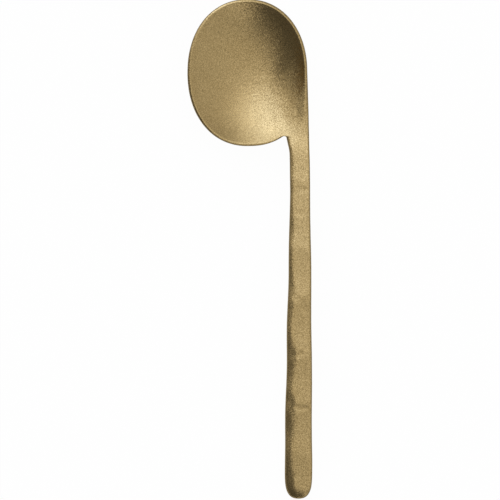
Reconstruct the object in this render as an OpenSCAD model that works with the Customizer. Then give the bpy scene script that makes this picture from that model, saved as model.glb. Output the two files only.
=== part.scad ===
// Espresso spoon, forged in one piece from a brass bar. The bowl is a full oval dish; its right
// side runs straight on as a flat, hammered handle, so the handle stands to one side of the bowl.
// Millimetres. The spoon lies on the table as it rests: +Y points to the tip of the bowl, +X to
// the handle's side, +Z up; the origin is on the table under the middle of the spoon.
// The whole body is one closed skin. Its outline is followed by rings that go round the edge,
// then inwards to a spine: one point in the deepest part of the dish, and from there a line
// through the root and down the middle of the handle.

/* [Overall] */
// Length from the tip of the bowl to the end of the handle
overall_length = 110; // [95:1:130]

/* [Bowl] */
// Width of the bowl across the rim
bowl_width = 26.4; // [23:0.2:32]
// Length of the bowl along the spoon
bowl_length = 32.3; // [28:0.1:38]
// Fullness of the bowl's outline: 2 is an ellipse, a higher value is squarer
bowl_fullness = 2.14; // [2:0.02:2.5]
// Depth of the dish below the rim
dish_depth = 5.3; // [4:0.1:7]
// How far the deepest part of the dish lies towards the handle's side
deep_shift_x = 1.9; // [1.2:0.1:3]
// How far the deepest part of the dish lies towards the handle's end
deep_shift_y = 0.8; // [0:0.1:3]
// How much further towards the handle's side the bowl is lowest underneath
base_shift = 1.2; // [1:0.1:1.6]
// Thickness of the metal at the rim
rim_thickness = 1; // [0.8:0.05:1.6]
// Thickness of the metal under the deepest part of the dish
base_thickness = 1.45; // [1.3:0.05:2]
// Width of the rim before the dish falls away
rim_width = 0.45; // [0.3:0.05:1]

/* [Handle] */
// Width of the handle behind the bowl
neck_width = 4.45; // [3.6:0.05:6]
// Width of the handle near its end
end_width = 6.1; // [4.6:0.1:8]
// Thickness of the handle behind the bowl
neck_thickness = 2.2; // [1.8:0.1:3.2]
// Thickness of the handle at its end
end_thickness = 2.5; // [2:0.1:3.4]
// How far the outer edge of the handle strays outwards from the side of the bowl
flare = 1.2; // [0:0.1:3]
// How much the handle bows upwards between bowl and end
arch = 2.2; // [0:0.1:3.5]
// How far the handle rises from the bowl's rim over its neck
neck_rise = 0.6; // [0:0.1:1.5]
// Radius of the notch between bowl and handle
notch_radius = 0.5; // [0.3:0.05:1]
// Length over which the end of the handle rounds off
end_rounding = 5; // [3:0.1:8]

/* [Hammering] */
// Crown radius of the hammer face; a smaller radius leaves deeper facets
hammer_crown = 60; // [50:5:400]
// Width over which the top face rolls off to the handle's inner edge, near the end
roll_width = 2.8; // [1.2:0.1:3]
// Width of the flat that a corner blow leaves on the inner edge
corner_width = 2.4; // [1.2:0.1:3]
// Share by which the roll's width swells and shrinks from blow to blow
roll_swell = 0.2; // [0:0.05:0.3]
// Depth of the waves left along the handle's edges
edge_wave = 0.05; // [0:0.01:0.15]

/* [Hidden] */

brass = [0.71, 0.6, 0.38];

// Places of the ridges between the hammer blows on the top face, as shares of the handle's length
blow_ridges = [0.137, 0.209, 0.284, 0.448, 0.599, 0.744, 0.876];
// Places where a blow on the inner edge bites a corner into the top face, as shares likewise
corner_places = [0.599, 0.744, 0.965];

half_width = bowl_width / 2;
half_length = bowl_length / 2;
// The quarter of the bowl next to the handle is fuller than the others
root_fullness = bowl_fullness + 0.25;
handle_end_y = half_length - overall_length;
cap_y = handle_end_y + end_rounding;
cap_fullness = 2.6;
// Length over which most of the flare is reached
flare_length = 35;
// Where the handle starts to widen, past the bowl, and where it stops, before its rounded end
taper_start = 10;
taper_stop = 4;
// How much sooner the handle widens near the bowl than near its end
taper_bias = 0.8;
// How much wider the handle grows where it enters the notch, and from where to where
root_widening = 0.55;
widening_start = 1;
widening_length = 2.5;
// Pitch and starting angle of the waves along the outer and the inner edge
outer_wave = [23, 40];
inner_wave = [17, 200];
// Length over which waves and hammering fade in and out
hammer_fade = 4;
// Radii of the rounded edge, seen from above: tight on the top side, softer underneath
rim_round = 0.14;
side_round = 0.25;
rim_round_under = min(0.42, rim_thickness / 2, rim_width);
side_round_under = 0.6;
// Roll of the top face at the edges: its width, its slope at the edge, and how it eases off
rim_roll = 0.55;
rim_slope = 1.1;
rim_easing = 1.2;
outer_roll = 0.9;
outer_slope = 0.45;
neck_roll = 1;
inner_slope = 0.78;
side_easing = 1.8;
// Slope of the flat that a corner blow leaves, and the span over which its edge is rounded
corner_slope = 0.44;
corner_softness = 0.2;
// How far a corner blow runs out before and after its place, as shares of the handle's length,
// and how long it keeps its full width
corner_before = 0.03;
corner_after = 0.02;
corner_hold = 1.6;
// Share of the outer roll's width that is there at the neck already
outer_start = 0.4;
// How soon the outer roll turns into the inner one, round the end of the handle
cap_turn = 1.4;
// Distance of the first and the last blow from their ridges, as shares of the handle's length
first_blow = 0.07;
last_blow = 0.06;
// Share of the handle's width by which the blows stray from its middle, right and left in turn
blow_stray = 0.2;
// Semi-axes of the dish at the rim
dish_x = half_width - rim_width;
dish_y = half_length - rim_width;
// Direction and strength in which the dish squares up towards the root of the handle
dish_corner = -18;
dish_corner_spread = 2.6;
dish_corner_fullness = 0.4;
// Share by which the wall of the dish is steeper at the rim than a plain parabola
wall_steepness = 0.05;
// Spans of height over which dish and rim, or dish and root, run into each other, above and below
lip_blend = 0.25;
root_blend = 3;
lip_blend_under = 0.05;
root_blend_under = 1.4;
// Share of the neck's width round its axis that is wholly handle, and the length over which
// the handle then gives way to the bowl
root_core = 0.55;
root_fade = 6.5;
// Length over which the neck rises, half of it on each side of the notch
neck_length = 10;
// Pitch and starting place of the roll's swelling, as shares of the handle's length
swell_pitch = 0.18;
swell_start = 0.75;
// Depth taken off the underside where it rests, so that it lies on two small flats
rest_flat = 0.3;

// Points along each stretch of the outline, and rings from the edge to the spine
root_points = 8;
handle_rows = 56;
cap_points = 11;
notch_points = 8;
bowl_points = 82;
edge_rings = 3;
face_rings = 9;
// Distances of the first face rings from the rounded edge, on both sides of the rim's lip
lip_steps = [0, rim_width - 0.11, rim_width + 0.03];
last_step = len(lip_steps) - 1;
rings = edge_rings + face_rings;
// Turns of the searches for the notch and for the lean
notch_turns = 30;
lean_turns = 8;

function share(v) = min(1, max(0, v));
function ease(v) = let (c = share(v)) c * c * (3 - 2 * c);
function mix(a, b, t) = a + (b - a) * t;
// The smaller of two values, with the corner between them rounded over a span k
function soft_min(a, b, k) = let (h = max(k - abs(a - b), 0) / k) min(a, b) - h * h * k / 4;
// Zero below zero and v above it, with the corner rounded over a span k each way
function ramp(v, k) = v < -k ? 0 : v > k ? v : (v + k) * (v + k) / (4 * k);
function oval(t, a, b, n) =
    let (c = cos(t), s = sin(t))
    [a * sign(c) * pow(abs(c), 2 / n), b * sign(s) * pow(abs(s), 2 / n)];

// Outer and inner edge of the handle, for a distance y along the spoon
function wave(y, form) =
    edge_wave * sin(360 * y / form[0] + form[1]) * ease((-y - half_length) / hammer_fade)
        * ease((y - cap_y) / hammer_fade);
function right_edge(y) =
    half_width + flare * (1 - exp(y / flare_length)) + wave(y, outer_wave);
function handle_width(y) =
    let (past_bowl = y + half_length + taper_start,
         s = share(past_bowl / (cap_y + half_length + taper_start + taper_stop)))
    mix(neck_width, end_width, (1 - exp(-taper_bias * s)) / (1 - exp(-taper_bias)))
        + wave(y, inner_wave)
        + root_widening * ease((y + half_length + widening_start) / widening_length);
function left_edge(y) = right_edge(y) - handle_width(y);
function axis_x(y) = right_edge(y) - handle_width(y) / 2;

// Notch: its circle touches the handle's inner edge and the bowl's outline
function outside(p) =
    pow(abs(p.x) / half_width, root_fullness) + pow(abs(p.y) / half_length, root_fullness) - 1;
function outward(p) =
    [root_fullness * pow(abs(p.x) / half_width, root_fullness - 1) / half_width * sign(p.x),
     root_fullness * pow(abs(p.y) / half_length, root_fullness - 1) / half_length * sign(p.y)];
function notch_spot(y) = [left_edge(y) - notch_radius, y];
function notch_gap(y) =
    let (p = notch_spot(y)) outside(p) / norm(outward(p)) - notch_radius;
function find_notch(inner, outer, turns) =
    let (m = (inner + outer) / 2)
    turns == 0 ? m
        : notch_gap(m) < 0 ? find_notch(m, outer, turns - 1) : find_notch(inner, m, turns - 1);

notch_y = find_notch(0, -half_length - 2 * notch_radius, notch_turns);
notch_centre = notch_spot(notch_y);
notch_out = outward(notch_centre);
notch_turn = atan2(-notch_out.y, -notch_out.x);
touch = notch_centre + notch_radius * [cos(notch_turn), sin(notch_turn)];
touch_turn = -atan2(pow(abs(touch.y) / half_length, root_fullness / 2),
                    pow(abs(touch.x) / half_width, root_fullness / 2));

function bowl_point(t) =
    oval(t, half_width, half_length,
         cos(t) > 0 && sin(t) < 0 ? root_fullness : bowl_fullness);
function row_y(i) = mix(notch_y, cap_y, i / handle_rows);

// Outline, clockwise from above: down the outer edge, round the end, up the inner edge, through
// the notch and round the bowl
outline = [
    for (i = [1 : root_points]) let (y = notch_y * i / root_points) [right_edge(y), y],
    for (i = [1 : handle_rows]) [right_edge(row_y(i)), row_y(i)],
    for (i = [1 : cap_points])
        [axis_x(cap_y), cap_y] + oval(-180 * i / (cap_points + 1), handle_width(cap_y) / 2,
                                      end_rounding, cap_fullness),
    for (i = [handle_rows : -1 : 1]) [left_edge(row_y(i)), row_y(i)],
    for (i = [0 : notch_points - 1])
        let (t = notch_turn * i / (notch_points - 1))
        notch_centre + notch_radius * [cos(t), sin(t)],
    for (i = [1 : bowl_points]) bowl_point(mix(touch_turn, -360, i / bowl_points))
];
count = len(outline);

// Spine: the deepest part of the dish, the root, the middle line of the handle
dish_foot = [deep_shift_x, -deep_shift_y];
base_foot = dish_foot + [base_shift, 0];
root_spot = [axis_x(notch_y), notch_y];
spine = [
    dish_foot,
    for (i = [1 : root_points]) mix(dish_foot, root_spot, i / root_points),
    for (i = [1 : handle_rows]) [axis_x(row_y(i)), row_y(i)]
];
// Place on the spine that each point of the outline looks at
anchor = [
    for (i = [1 : root_points + handle_rows]) i,
    for (i = [1 : cap_points]) root_points + handle_rows,
    for (i = [root_points + handle_rows : -1 : root_points + 1]) i,
    for (i = [1 : notch_points]) root_points,
    for (i = [1 : bowl_points]) max(0, root_points - i)
];

// How much a place belongs to the handle: 1 on it, falling to 0 in the bowl
function handle_share(p) =
    1 - ease((norm([p.x - axis_x(min(p.y, notch_y)), max(0, p.y - notch_y)])
              - neck_width * root_core) / root_fade);
function along(y) = share((notch_y - y) / (notch_y - handle_end_y));

// Dish level: 0 in its deepest part, 1 at the rim, more outside
function dish_level(p, a, b, foot) =
    let (u0 = p.x / a, v0 = p.y / b,
         slide = share(1 - u0 * u0 - v0 * v0),
         u = (p.x - foot.x * slide) / a, v = (p.y - foot.y * slide) / b,
         round_level = u * u + v * v,
         turn = abs(u) + abs(v) < 1e-6 ? 0 : atan2(v, u),
         corner = max(0, cos(min(90, abs(turn - dish_corner) * dish_corner_spread))),
         n = bowl_fullness + dish_corner_fullness * corner,
         full_level = pow(pow(abs(u), n) + pow(abs(v), n), 2 / n))
    mix(round_level, full_level, share(round_level));
function dish_profile(q) = (1 - q) * (1 + wall_steepness * min(q, 1));

// Handle: its bow, the facets of the hammer, and the slopes along its two edges
function bow(y) =
    let (s = along(y))
    4 * arch * s * (1 - s) + neck_rise * ease((notch_y - y) / neck_length + 0.5);
function blow_y(i) =
    mix(notch_y, handle_end_y,
        (i == 0 ? blow_ridges[0] - first_blow
            : i == len(blow_ridges) ? blow_ridges[i - 1] + last_blow
            : (blow_ridges[i - 1] + blow_ridges[i]) / 2));
function facets(p) =
    min([for (i = [0 : len(blow_ridges)])
        let (side = (i % 2 == 0 ? 1 : -1) * handle_width(blow_y(i)) * blow_stray)
        (pow(p.x - axis_x(p.y) - side, 2) + pow(p.y - blow_y(i), 2)) / (2 * hammer_crown)])
    * ease((notch_y - p.y) / hammer_fade);
function inner_roll(y) =
    let (s = along(y))
    min(handle_width(y) / 2,
        mix(neck_roll, roll_width, s)
            * (1 + roll_swell * sin(360 * (s - swell_start) / swell_pitch)));
// Width of the flat of a corner blow: it runs out before and after its place
function corner_run(s) =
    max([for (c = corner_places)
        ease(corner_hold - abs(s - c) / (s < c ? corner_before : corner_after))]);

// Heights of the top and the underside above the rim's plane
function top_z(p) =
    let (w = handle_share(p), level = dish_level(p, dish_x, dish_y, dish_foot))
    soft_min(bow(p.y) + facets(p), -dish_depth * dish_profile(level), mix(lip_blend, root_blend, w));
function thickness(y) = mix(neck_thickness, end_thickness, along(y));
function under_z(p) =
    let (w = handle_share(p), level = dish_level(p, half_width, half_length, base_foot),
         bowl_z = -rim_thickness
                  - (dish_depth + base_thickness - rim_thickness)
                    * max(0, dish_profile(level)))
    soft_min(bow(p.y) - mix(rim_thickness, thickness(p.y), w), bowl_z,
             mix(lip_blend_under, root_blend_under, w));

// Roll of the top face at outline point i: how far it reaches in, and its slope at the edge
outer_end = root_points + handle_rows;
cap_end = outer_end + cap_points;
inner_end = cap_end + handle_rows + notch_points;
function inner_share(i) =
    i < outer_end ? 0
        : i < cap_end ? ease(cap_turn * (i - outer_end + 1) / (cap_points + 1))
        : i < inner_end ? 1 : 0;
function roll_reach(i) =
    let (o = outline[i])
    mix(rim_roll,
        mix(outer_roll * share(outer_start + along(o.y)), inner_roll(o.y), inner_share(i)),
        handle_share(o));
function roll_slope(i) =
    mix(rim_slope, mix(outer_slope, inner_slope, inner_share(i)), handle_share(outline[i]));
function roll(i, p) =
    let (reach = roll_reach(i), off = norm(p - outline[i]),
         easing = mix(rim_easing, side_easing, handle_share(outline[i])),
         flat = corner_width * corner_run(along(outline[i].y)) * inner_share(i))
    max(roll_slope(i) * reach / easing * pow(share(1 - off / reach), easing),
        corner_slope * ramp(flat - off, corner_softness));

// Plan position of ring j at outline point i: first round the edge, then on to the spine
function inward(i) =
    let (d = outline[(i + 1) % count] - outline[(i + count - 1) % count]) [d.y, -d.x] / norm(d);
function edge_turn(j) = 90 * min(1, j / edge_rings);
function edge_round(i, upper) =
    mix(upper ? rim_round : rim_round_under, upper ? side_round : side_round_under,
        handle_share(outline[i]));
function ring_spot(i, j, upper) =
    let (p = outline[i] + inward(i) * edge_round(i, upper) * (1 - cos(edge_turn(j))),
         foot = spine[anchor[i]], reach = norm(foot - p),
         start = lip_steps[last_step], k = max(0, j - edge_rings),
         bend = max(1, ln(reach / start) / ln(face_rings)))
    p + (foot - p) / reach * (k <= last_step ? lip_steps[k]
        : mix(start, reach, pow((k - last_step) / (face_rings - last_step), bend)));
function middle_z(i) = (top_z(outline[i]) - roll(i, outline[i]) + under_z(outline[i])) / 2;
function skin_point(i, j, upper) =
    let (p = ring_spot(i, j, upper), m = middle_z(i),
         z = upper ? top_z(p) - roll(i, p) : under_z(p))
    [p.x, p.y, mix(m, z, sin(edge_turn(j)))];

// Skin points: the edge ring, the upper rings and the upper spine, then the same below
edge_ring = [for (i = [0 : count - 1]) skin_point(i, 0, true)];
upper_rings = [for (j = [1 : rings - 1]) for (i = [0 : count - 1]) skin_point(i, j, true)];
upper_spine = [for (p = spine) [p.x, p.y, top_z(p)]];
lower_rings = [for (j = [1 : rings - 1]) for (i = [0 : count - 1]) skin_point(i, j, false)];
lower_spine = [for (p = spine) [p.x, p.y, under_z(p)]];
level_points = concat(edge_ring, upper_rings, upper_spine, lower_rings, lower_spine);

// Resting: the spoon leans until bowl and handle end both touch the table
bowl_side = [for (p = level_points) if (p.y > notch_y) p];
end_side = [for (p = level_points) if (p.y < cap_y) p];
function lowest(points, lean) = min([for (p = points) p.z + lean * p.y]);
function find_lean(lean, turns) =
    turns == 0 ? lean
        : find_lean(lean + (lowest(end_side, lean) - lowest(bowl_side, lean))
                           / (dish_foot.y - cap_y), turns - 1);
lean = find_lean(0, lean_turns);
leaning = [for (p = level_points) [p.x, p.y, p.z + lean * p.y]];
table_z = min([for (p = leaning) p.z]) + rest_flat;
middle = [(min([for (p = outline) p.x]) + max([for (p = outline) p.x])) / 2,
          (min([for (p = outline) p.y]) + max([for (p = outline) p.y])) / 2];
skin_points = [for (p = leaning) [p.x - middle.x, p.y - middle.y, max(0, p.z - table_z)]];

// Numbers of the skin points, and the triangles between them
upper_base = count;
upper_spine_base = upper_base + count * (rings - 1);
lower_base = upper_spine_base + len(spine);
lower_spine_base = lower_base + count * (rings - 1);
function point_number(i, j, upper) =
    j == 0 ? i % count
    : j == rings ? (upper ? upper_spine_base : lower_spine_base) + anchor[i % count]
    : (upper ? upper_base : lower_base) + (j - 1) * count + i % count;
function facing(t, upper) = upper ? t : [t[2], t[1], t[0]];
function patch(i, j, upper) =
    let (a = point_number(i, j, upper), b = point_number(i + 1, j, upper),
         c = point_number(i + 1, j + 1, upper), d = point_number(i, j + 1, upper))
    c == d ? [facing([a, b, c], upper)]
        : [facing([a, b, c], upper), facing([a, c, d], upper)];
skin_faces = [
    for (upper = [true, false]) for (j = [0 : rings - 1]) for (i = [0 : count - 1])
        each patch(i, j, upper)
];

module spoon() {
    color(brass) polyhedron(points = skin_points, faces = skin_faces, convexity = 4);
}

spoon();
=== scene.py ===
"""Looks of the forged espresso spoon: its worked surface, its brass and the table it lies on.

Lengths are metres unless a name ends in _mm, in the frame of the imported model: +Y points to
the tip of the bowl, +X to the handle's side and +Z up, with the table at Z = 0.
"""

import logging
import math
from dataclasses import dataclass, field
from enum import Enum
from typing import ClassVar

import bpy
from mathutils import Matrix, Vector
from mathutils.geometry import intersect_point_line


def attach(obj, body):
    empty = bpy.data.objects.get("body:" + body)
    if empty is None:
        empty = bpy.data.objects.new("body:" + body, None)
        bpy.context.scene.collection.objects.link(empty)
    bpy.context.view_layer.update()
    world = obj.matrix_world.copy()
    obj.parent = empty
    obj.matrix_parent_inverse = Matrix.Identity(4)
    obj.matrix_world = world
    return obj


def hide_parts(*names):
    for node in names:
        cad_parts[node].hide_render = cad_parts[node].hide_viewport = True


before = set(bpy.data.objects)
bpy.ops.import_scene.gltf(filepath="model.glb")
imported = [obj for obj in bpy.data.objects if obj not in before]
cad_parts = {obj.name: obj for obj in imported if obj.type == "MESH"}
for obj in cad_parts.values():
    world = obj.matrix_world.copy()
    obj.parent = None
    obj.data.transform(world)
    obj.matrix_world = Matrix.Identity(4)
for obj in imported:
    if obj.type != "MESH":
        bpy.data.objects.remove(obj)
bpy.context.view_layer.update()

Colour = tuple[float, float, float]
Point = tuple[float, float, float]
Line = tuple[tuple[float, float], ...]

MM = 0.001
UP = (0.0, 0.0, 1.0)
NOISE_MIDDLE = 0.5
LOG = logging.getLogger("espresso_spoon")


class Carried(Enum):
    """What a socket of a surface effect carries."""

    DIRECTION = "NodeSocketVector"
    SHARE = "NodeSocketFloat"


def select_only(piece: bpy.types.Object) -> None:
    """Leaves one object selected and active, in object mode.

    Args:
        piece: The object to work on.
    """
    bpy.ops.object.select_all(action="DESELECT")
    piece.select_set(True)
    bpy.context.view_layer.objects.active = piece


def apply_modifier(piece: bpy.types.Object, modifier: bpy.types.Modifier) -> None:
    """Applies one modifier of a piece to its mesh.

    Args:
        piece: The object that carries the modifier.
        modifier: The modifier to apply.
    """
    select_only(piece)
    bpy.ops.object.modifier_apply(modifier=modifier.name)


@dataclass
class ShaderBench:
    """A node tree under work, with short calls for adding and joining nodes."""

    tree: bpy.types.NodeTree

    def add(self, kind: str, **settings: object) -> bpy.types.Node:
        """Adds a node and sets its properties.

        Args:
            kind: The node's type, such as "ShaderNodeMix".
            settings: Properties of the node, by name.

        Returns:
            The new node.
        """
        node = self.tree.nodes.new(kind)
        for name, value in settings.items():
            setattr(node, name, value)
        return node

    def join(self, source: bpy.types.NodeSocket, target: bpy.types.NodeSocket) -> None:
        """Links an output socket to an input socket."""
        self.tree.links.new(source, target)

    def feed(self, target: bpy.types.NodeSocket, value: object) -> None:
        """Gives an input socket its link or its plain value.

        Args:
            target: The input socket.
            value: An output socket, a number, a vector or a colour.
        """
        if isinstance(value, bpy.types.NodeSocket):
            self.join(value, target)
        elif target.type == "RGBA":
            target.default_value = (*value, 1.0)
        else:
            target.default_value = value

    def math(self, operation: str, *values: object) -> bpy.types.NodeSocket:
        """Adds a Math node.

        Args:
            operation: The node's operation, such as "MULTIPLY".
            values: A socket or a number for each input.

        Returns:
            The node's output socket.
        """
        node = self.add("ShaderNodeMath", operation=operation)
        for slot, value in zip(node.inputs, values):
            self.feed(slot, value)
        return node.outputs[0]

    def vector(self, operation: str, *values: object) -> bpy.types.NodeSocket:
        """Adds a Vector Math node.

        Args:
            operation: The node's operation, such as "ADD".
            values: A socket or a vector for each input.

        Returns:
            The node's vector socket, or its value socket for a dot product.
        """
        node = self.add("ShaderNodeVectorMath", operation=operation)
        for slot, value in zip(node.inputs, values):
            self.feed(slot, value)
        return node.outputs["Value" if operation == "DOT_PRODUCT" else "Vector"]

    def noise(self, where: bpy.types.NodeSocket, size_mm: float, octaves: float,
              fineness: float) -> bpy.types.NodeSocket:
        """Adds a noise texture.

        Args:
            where: The coordinates it reads.
            size_mm: Size of its features.
            octaves: Number of finer layers.
            fineness: Strength of the finer layers.

        Returns:
            The texture's value, around 0.5.
        """
        node = self.add("ShaderNodeTexNoise")
        for name, value in (("Vector", where), ("Scale", 1 / (size_mm * MM)),
                            ("Detail", octaves), ("Roughness", fineness)):
            self.feed(node.inputs[name], value)
        return node.outputs["Fac"]

    def remap(self, value: bpy.types.NodeSocket, low: float, high: float, to_low: float,
              to_high: float) -> bpy.types.NodeSocket:
        """Maps a value smoothly from one range to another.

        Args:
            value: The socket to map.
            low: Start of the range it comes from.
            high: End of the range it comes from.
            to_low: What the start becomes.
            to_high: What the end becomes.

        Returns:
            The mapped socket.
        """
        node = self.add("ShaderNodeMapRange", interpolation_type="SMOOTHSTEP")
        for name, given in (("Value", value), ("From Min", low), ("From Max", high),
                            ("To Min", to_low), ("To Max", to_high)):
            self.feed(node.inputs[name], given)
        return node.outputs["Result"]

    def blend(self, share: object, first: object, second: object) -> bpy.types.NodeSocket:
        """Mixes two colours.

        Args:
            share: Socket or number, 0 for the first colour and 1 for the second.
            first: A socket or a colour.
            second: A socket or a colour.

        Returns:
            The mixed colour.
        """
        node = self.add("ShaderNodeMix", data_type="RGBA")
        for slot, value in ((0, share), (6, first), (7, second)):
            self.feed(node.inputs[slot], value)
        return node.outputs[2]


@dataclass(frozen=True)
class SurfaceEffect:
    """Something seen all over the metal, kept as a shader node group."""

    title: ClassVar[str]
    reads: ClassVar[str]
    gives: ClassVar[dict[str, Carried]] = {"Mask": Carried.SHARE}

    def group(self) -> bpy.types.NodeTree:
        """Builds the effect as a node group, once.

        Returns:
            The group, with one input and the effect's outputs.
        """
        if self.title in bpy.data.node_groups:
            return bpy.data.node_groups[self.title]
        tree = bpy.data.node_groups.new(self.title, "ShaderNodeTree")
        tree.interface.new_socket(self.reads, in_out="INPUT",
                                  socket_type=Carried.DIRECTION.value)
        for name, carried in self.gives.items():
            tree.interface.new_socket(name, in_out="OUTPUT", socket_type=carried.value)
        bench = ShaderBench(tree)
        start, end = bench.add("NodeGroupInput"), bench.add("NodeGroupOutput")
        self.draw(bench, start.outputs[self.reads], end)
        return tree

    def draw(self, bench: ShaderBench, source: bpy.types.NodeSocket,
             end: bpy.types.Node) -> None:
        """Fills the group.

        Args:
            bench: The group's node tree under work.
            source: What the group reads.
            end: The group's output node.
        """
        raise NotImplementedError

    def place(self, bench: ShaderBench,
              source: bpy.types.NodeSocket) -> bpy.types.NodeOutputs:
        """Places the effect in a material.

        Args:
            bench: The material's node tree under work.
            source: What the effect reads.

        Returns:
            The outputs of the effect's node.
        """
        node = bench.add("ShaderNodeGroup", node_tree=self.group())
        bench.join(source, node.inputs[self.reads])
        return node.outputs


@dataclass(frozen=True)
class TumbledGrain(SurfaceEffect):
    """Fine pitting that a tumbling barrel leaves all over the metal."""

    title: ClassVar[str] = "tumbled_grain"
    reads: ClassVar[str] = "Position"
    gives: ClassVar[dict[str, Carried]] = {"Normal": Carried.DIRECTION,
                                           "Speckle": Carried.SHARE}
    pit_mm: float = 0.22
    pit_octaves: float = 2.0
    pit_fineness: float = 0.7
    pit_lean: float = 0.6
    speck_mm: float = 0.13
    speck_octaves: float = 1.0
    speck_fineness: float = 0.5
    speck_share: float = 0.5
    low: float = 0.36
    high: float = 0.64

    def draw(self, bench: ShaderBench, source: bpy.types.NodeSocket,
             end: bpy.types.Node) -> None:
        """Fills the group with the leaning normal of the pits and a speckle mask.

        Args:
            bench: The group's node tree under work.
            source: Place on the piece.
            end: The group's output node.
        """
        pits = bench.noise(source, self.pit_mm, self.pit_octaves, self.pit_fineness)
        specks = bench.noise(source, self.speck_mm, self.speck_octaves, self.speck_fineness)
        offset = bench.vector("SUBTRACT", pits.node.outputs["Color"], (NOISE_MIDDLE,) * 3)
        lean = bench.vector("MULTIPLY", offset, (self.pit_lean,) * 3)
        flat = bench.add("ShaderNodeNewGeometry").outputs["Normal"]
        leaning = bench.vector("NORMALIZE", bench.vector("ADD", flat, lean))
        height = bench.math("ADD", bench.math("MULTIPLY", pits, 1.0 - self.speck_share),
                            bench.math("MULTIPLY", specks, self.speck_share))
        bench.join(leaning, end.inputs["Normal"])
        bench.join(bench.remap(height, self.low, self.high, 0.0, 1.0), end.inputs["Speckle"])


@dataclass(frozen=True)
class Patina(SurfaceEffect):
    """Slow change of tone over the metal, from handling and from the bath."""

    title: ClassVar[str] = "patina"
    reads: ClassVar[str] = "Position"
    cloud_mm: float = 9.0
    octaves: float = 3.0
    fineness: float = 0.55
    low: float = 0.3
    high: float = 0.7

    def draw(self, bench: ShaderBench, source: bpy.types.NodeSocket,
             end: bpy.types.Node) -> None:
        """Fills the group with a cloudy mask.

        Args:
            bench: The group's node tree under work.
            source: Place on the piece.
            end: The group's output node.
        """
        cloud = bench.noise(source, self.cloud_mm, self.octaves, self.fineness)
        bench.join(bench.remap(cloud, self.low, self.high, 0.0, 1.0), end.inputs["Mask"])


@dataclass(frozen=True)
class PaintedSideShade(SurfaceEffect):
    """Painted shade: darkens the steep sides in the base colour, standing in for the shade
    and dark reflections they get.
    """

    title: ClassVar[str] = "painted_side_shade"
    reads: ClassVar[str] = "Normal"
    flat_from: float = 0.77
    steep_to: float = 0.58

    def draw(self, bench: ShaderBench, source: bpy.types.NodeSocket,
             end: bpy.types.Node) -> None:
        """Fills the group with a painted-shade mask that is full on the steep sides.

        Args:
            bench: The group's node tree under work.
            source: The skin's normal on the piece.
            end: The group's output node.
        """
        level = bench.math("ABSOLUTE", bench.vector("DOT_PRODUCT", source, UP))
        bench.join(bench.remap(level, self.steep_to, self.flat_from, 1.0, 0.0),
                   end.inputs["Mask"])


@dataclass(frozen=True)
class BrassFinish:
    """Pale brass with a matte, fine-grained skin."""

    name: str = "tumbled_brass"
    metal: Colour = (0.398, 0.293, 0.138)
    warm: Colour = (0.380, 0.275, 0.125)
    pit: Colour = (0.190, 0.138, 0.062)
    glint: Colour = (0.61, 0.465, 0.25)
    speckle_middle: float = 0.5
    speckle_share: float = 0.75
    # Painted shade on the steep sides: the tone they are darkened towards, and how far.
    painted_shade_tone: Colour = (0.13, 0.10, 0.055)
    painted_shade_share: float = 0.95
    edge_tone: Colour = (0.70, 0.60, 0.42)
    roughness_smooth: float = 0.15
    roughness_pitted: float = 0.24
    grain: TumbledGrain = field(default_factory=TumbledGrain)
    patina: Patina = field(default_factory=Patina)
    side_shade: PaintedSideShade = field(default_factory=PaintedSideShade)

    def material(self) -> bpy.types.Material:
        """Builds the finish as a material.

        Returns:
            The new material.
        """
        material = bpy.data.materials.new(self.name)
        material.use_nodes = True
        bench = ShaderBench(material.node_tree)
        shader = material.node_tree.nodes["Principled BSDF"]
        shader.inputs["Metallic"].default_value = 1.0
        shader.inputs["Specular Tint"].default_value = (*self.edge_tone, 1.0)
        spot = bench.add("ShaderNodeTexCoord").outputs
        grain = self.grain.place(bench, spot["Object"])
        patina = self.patina.place(bench, spot["Object"])
        side_shade = self.side_shade.place(bench, spot["Normal"])
        colour = self._speckled(bench, grain["Speckle"],
                                bench.blend(patina["Mask"], self.metal, self.warm))
        # Painted shade: the base colour goes dark on the steep sides, standing in for their
        # shade.
        dark = bench.math("MULTIPLY", side_shade["Mask"], self.painted_shade_share)
        bench.join(bench.blend(dark, colour, self.painted_shade_tone), shader.inputs["Base Color"])
        bench.join(bench.remap(grain["Speckle"], 0.0, 1.0, self.roughness_pitted,
                               self.roughness_smooth), shader.inputs["Roughness"])
        bench.join(grain["Normal"], shader.inputs["Normal"])
        return material

    def _speckled(self, bench: ShaderBench, speckle: bpy.types.NodeSocket,
                  tone: bpy.types.NodeSocket) -> bpy.types.NodeSocket:
        """Darkens the pits and lightens the grains between them.

        Args:
            bench: The material's node tree under work.
            speckle: The speckle mask, 0 in a pit and 1 on a grain.
            tone: The colour of the plain metal.

        Returns:
            The speckled colour.
        """
        sunk = bench.remap(speckle, 0.0, self.speckle_middle, self.speckle_share, 0.0)
        raised = bench.remap(speckle, self.speckle_middle, 1.0, 0.0, self.speckle_share)
        return bench.blend(raised, bench.blend(sunk, tone, self.pit), self.glint)


@dataclass(frozen=True)
class BlowEdge:
    """The line that the edge of a hammer face bites into the top of the handle."""

    line_mm: Line
    depth_mm: float
    reach_mm: float

    def gap(self, spot: Vector) -> float:
        """Measures how far a spot lies from the line, seen from above.

        Args:
            spot: A place on the body.

        Returns:
            The distance in metres.
        """
        level = spot.xy
        gaps = []
        for start, end in zip(self.line_mm, self.line_mm[1:]):
            first, last = Vector(start) * MM, Vector(end) * MM
            foot, share = intersect_point_line(level, first, last)
            foot = foot.xy if 0.0 < share < 1.0 else (first if share <= 0.0 else last)
            gaps.append((level - foot).length)
        return min(gaps)


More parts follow.
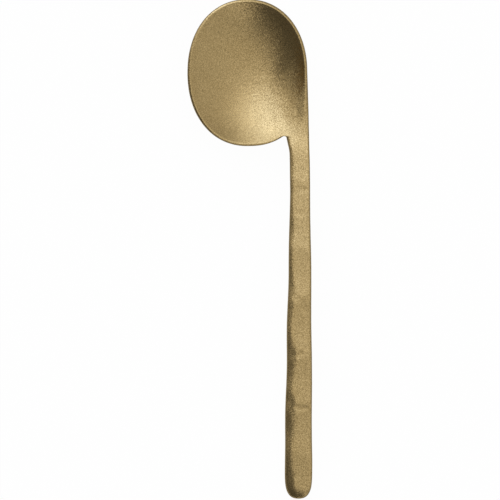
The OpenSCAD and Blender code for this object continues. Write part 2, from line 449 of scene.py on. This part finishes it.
@dataclass
class Spoon:
    """The spoon's body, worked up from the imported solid."""

    name: str = "spoon_body"
    finish: BrassFinish = field(default_factory=BrassFinish)
    weld_mm: float = 0.002
    quad_bend: float = 60.0
    quad_skew: float = 140.0
    refinement: int = 2
    ripple_mm: float = 0.03
    ripple_size_mm: float = 4.5
    ripple_layers: int = 1
    ripple_level: float = 0.75
    line_width_mm: float = 0.2
    top_facing: float = 0.5
    blow_edges: tuple[BlowEdge, ...] = (
        BlowEdge(((10.6, 13.3), (11.4, 13.0), (12.3, 13.2)), 0.06, 1.0),
        BlowEdge(((10.6, 8.0), (11.5, 7.8), (12.4, 8.2)), 0.06, 1.0),
        BlowEdge(((10.0, -10.3), (11.0, -11.5), (12.2, -13.4)), 0.06, 0.9),
        BlowEdge(((10.8, -23.3), (11.3, -22.9)), 0.14, 0.8),
        BlowEdge(((10.5, -34.7), (11.2, -35.0), (12.1, -34.7)), 0.14, 0.8),
    )

    def build(self) -> bpy.types.Object:
        """Makes the finished body and ties it to the frame.

        Returns:
            The piece.
        """
        piece = self._copied_solid()
        self._weld_into_quads(piece)
        self._smooth_skin(piece)
        self._ripple(piece)
        for edge in self.blow_edges:
            self._bite(piece, edge)
        piece.data.materials.append(self.finish.material())
        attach(piece, "root")
        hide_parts("spoon")
        return piece

    def _copied_solid(self) -> bpy.types.Object:
        """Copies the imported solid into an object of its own.

        Returns:
            The copy, without materials.
        """
        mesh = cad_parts["spoon"].data.copy()
        mesh.name = self.name
        mesh.materials.clear()
        piece = bpy.data.objects.new(self.name, mesh)
        bpy.context.scene.collection.objects.link(piece)
        return piece

    def _weld_into_quads(self, piece: bpy.types.Object) -> None:
        """Merges the loose triangles into one skin of four-sided faces.

        Args:
            piece: The copy of the solid.
        """
        select_only(piece)
        bpy.ops.object.mode_set(mode="EDIT")
        bpy.ops.mesh.select_all(action="SELECT")
        bpy.ops.mesh.remove_doubles(threshold=self.weld_mm * MM)
        bpy.ops.mesh.customdata_custom_splitnormals_clear()
        bpy.ops.mesh.tris_convert_to_quads(face_threshold=math.radians(self.quad_bend),
                                           shape_threshold=math.radians(self.quad_skew))
        bpy.ops.object.mode_set(mode="OBJECT")

    def _smooth_skin(self, piece: bpy.types.Object) -> None:
        """Rounds the faces into one smooth skin.

        Args:
            piece: The welded body.
        """
        smooth = piece.modifiers.new("smooth_skin", "SUBSURF")
        smooth.levels = smooth.render_levels = self.refinement
        apply_modifier(piece, smooth)
        bpy.ops.object.shade_smooth()

    def _ripple(self, piece: bpy.types.Object) -> None:
        """Leaves the faint unevenness of hand-worked metal.

        Args:
            piece: The smooth body.
        """
        cloud = bpy.data.textures.new("hand_worked", "CLOUDS")
        cloud.noise_scale = self.ripple_size_mm * MM
        cloud.noise_depth = self.ripple_layers
        ripple = piece.modifiers.new("ripple", "DISPLACE")
        ripple.texture = cloud
        ripple.texture_coords = "LOCAL"
        ripple.strength = self.ripple_mm * MM
        ripple.mid_level = self.ripple_level
        apply_modifier(piece, ripple)

    def _bite(self, piece: bpy.types.Object, edge: BlowEdge) -> None:
        """Presses the line of a blow's edge into the top, with soft shoulders.

        Args:
            piece: The smooth body.
            edge: The line to press.
        """
        select_only(piece)
        bpy.ops.object.mode_set(mode="EDIT")
        bpy.ops.mesh.select_mode(type="VERT")
        bpy.ops.mesh.select_all(action="DESELECT")
        bpy.ops.object.mode_set(mode="OBJECT")
        for vertex in piece.data.vertices:
            vertex.select = (vertex.normal.z > self.top_facing
                             and edge.gap(vertex.co) < self.line_width_mm * MM)
        bpy.ops.object.mode_set(mode="EDIT")
        bpy.ops.transform.translate(value=(0.0, 0.0, -edge.depth_mm * MM),
                                    use_proportional_edit=True,
                                    proportional_edit_falloff="SMOOTH",
                                    proportional_size=edge.reach_mm * MM)
        bpy.ops.object.mode_set(mode="OBJECT")


@dataclass(frozen=True)
class Softbox:
    """A square studio lamp that looks at the spoon."""

    name: str
    direction: Point
    distance: float
    side: float
    radiance: float
    tint: Colour

    def build(self) -> None:
        """Hangs the lamp."""
        lamp = bpy.data.lights.new(self.name, "AREA")
        lamp.shape = "SQUARE"
        lamp.size = self.side
        lamp.energy = self.radiance * math.pi * self.side ** 2
        lamp.color = self.tint
        stand = bpy.data.objects.new(self.name, lamp)
        aim = Vector(self.direction).normalized()
        stand.location = aim * self.distance
        stand.rotation_mode = "QUATERNION"
        stand.rotation_quaternion = aim.to_track_quat("Z", "Y")
        bpy.context.scene.collection.objects.link(stand)


def toward(azimuth: float, zenith: float) -> Point:
    """Gives the direction of a place in the sky of the studio.

    Args:
        azimuth: Degrees from +X towards +Y.
        zenith: Degrees down from straight up.

    Returns:
        A unit direction.
    """
    a, z = math.radians(azimuth), math.radians(zenith)
    return (math.sin(z) * math.cos(a), math.sin(z) * math.sin(a), math.cos(z))


@dataclass(frozen=True)
class SkyLobe:
    """A soft bright or dark side of the studio, such as a wall or a curtain."""

    name: str
    azimuth: float
    zenith: float
    strength: float
    narrowness: float

    def light(self, bench: ShaderBench,
              place: bpy.types.NodeSocket) -> bpy.types.NodeSocket:
        """Adds the lobe's nodes.

        Args:
            bench: The world's node tree under work.
            place: Direction of a place in the sky.

        Returns:
            What the lobe adds to the light from that place.
        """
        aim = toward(self.azimuth, self.zenith)
        facing = bench.math("MAXIMUM", bench.vector("DOT_PRODUCT", place, aim), 0.0)
        added = bench.math("MULTIPLY", bench.math("POWER", facing, self.narrowness),
                           self.strength)
        added.node.label = self.name
        return added


@dataclass
class Studio:
    """Table, sky, lamps and camera round the spoon."""

    table_side: float = 4.0
    table_tone: float = 0.8
    table_roughness: float = 0.9
    table_glow: float = 0.97
    sky_top: float = 0.885
    sky_edge: float = 0.605
    sky_least: float = 0.13
    lobes: tuple[SkyLobe, ...] = (
        SkyLobe("bright wall", 98, 53, 1.68, 3.9),
        SkyLobe("window", 120, 69, 0.77, 32.0),
        SkyLobe("dark wall", 223, 76, -0.62, 3.8),
        SkyLobe("curtain", 188, 47, -0.37, 30.0),
        SkyLobe("doorway", 273, 69, -0.45, 9.6),
        SkyLobe("corner", 79, 61, -1.20, 6.0),
        SkyLobe("dark shelf", 186, 90, -0.43, 25.0),
        SkyLobe("far window", 281, 71, 0.90, 30.0),
    )
    dim_until: float = 0.7
    dim_tint: Colour = (1.08, 1.05, 0.96)
    bright_from: float = 2.0
    bright_tint: Colour = (0.95, 1.02, 1.17)
    lamps: tuple[Softbox, ...] = (
        Softbox("fill", toward(70, 30), 1.6, 1.2, 0.20, (0.95, 1.0, 1.08)),
        Softbox("key", toward(100, 52), 1.3, 1.05, 0.20, (0.9, 1.0, 1.14)),
    )
    image_width: float = 0.110
    image_centre: tuple[float, float] = (0.00001, -0.00011)
    lens_mm: float = 600.0
    focus_height: float = 0.004

    def build(self) -> None:
        """Sets up everything round the spoon."""
        self._table()
        self._sky()
        for lamp in self.lamps:
            lamp.build()
        self._camera()

    def _table(self) -> None:
        """Lays the table, which shows white, also in the metal, and keeps the shadow."""
        bpy.ops.object.select_all(action="DESELECT")
        bpy.ops.mesh.primitive_plane_add(size=self.table_side)
        table = bpy.context.active_object
        table.name = "table"
        material = bpy.data.materials.new("table_white")
        material.use_nodes = True
        bench = ShaderBench(material.node_tree)
        shader = material.node_tree.nodes["Principled BSDF"]
        shader.inputs["Base Color"].default_value = (self.table_tone,) * 3 + (1.0,)
        shader.inputs["Roughness"].default_value = self.table_roughness
        glow = bench.add("ShaderNodeEmission")
        path = bench.add("ShaderNodeLightPath").outputs
        mix = bench.add("ShaderNodeMixShader")
        mirrored = bench.math("MAXIMUM", path["Is Glossy Ray"], path["Is Transmission Ray"])
        seen = bench.math("MAXIMUM", path["Is Camera Ray"], mirrored)
        bench.join(bench.math("MULTIPLY", seen, self.table_glow), mix.inputs["Fac"])
        bench.join(shader.outputs[0], mix.inputs[1])
        bench.join(glow.outputs[0], mix.inputs[2])
        bench.join(mix.outputs[0], material.node_tree.nodes["Material Output"].inputs[0])
        table.data.materials.append(material)

    def _sky(self) -> None:
        """Lights the studio softly, bright on one side and darker on another."""
        world = bpy.data.worlds.new("studio")
        bpy.context.scene.world = world
        world.use_nodes = True
        bench = ShaderBench(world.node_tree)
        backdrop = world.node_tree.nodes["Background"]
        place = bench.add("ShaderNodeTexCoord").outputs["Generated"]
        parts = bench.add("ShaderNodeSeparateXYZ")
        bench.join(place, parts.inputs[0])
        height = bench.math("MAXIMUM", parts.outputs["Z"], 0.0)
        light = bench.math("MULTIPLY_ADD", height, self.sky_top - self.sky_edge,
                           self.sky_edge)
        for lobe in self.lobes:
            light = bench.math("ADD", light, lobe.light(bench, place))
        bright = bench.remap(light, self.dim_until, self.bright_from, 0.0, 1.0)
        bench.join(bench.math("MAXIMUM", light, self.sky_least), backdrop.inputs["Strength"])
        bench.join(bench.blend(bright, self.dim_tint, self.bright_tint),
                   backdrop.inputs["Color"])

    def _camera(self) -> None:
        """Hangs the camera straight above the spoon, framed as in the photograph."""
        camera = bpy.data.objects.new("camera", bpy.data.cameras.new("camera"))
        camera.data.lens = self.lens_mm
        reach = self.image_width * self.lens_mm / camera.data.sensor_width
        camera.location = (*self.image_centre, self.focus_height + reach)
        bpy.context.scene.collection.objects.link(camera)
        bpy.context.scene.camera = camera


def main() -> None:
    """Builds the studio and the spoon in order."""
    logging.basicConfig(level=logging.INFO, format="%(name)s: %(message)s")
    scene = bpy.context.scene
    scene.view_settings.view_transform = "Standard"
    Studio().build()
    LOG.info("studio ready")
    piece = Spoon().build()
    LOG.info("%s: %d faces", piece.name, len(piece.data.polygons))


if __name__ == "__main__":
    main()
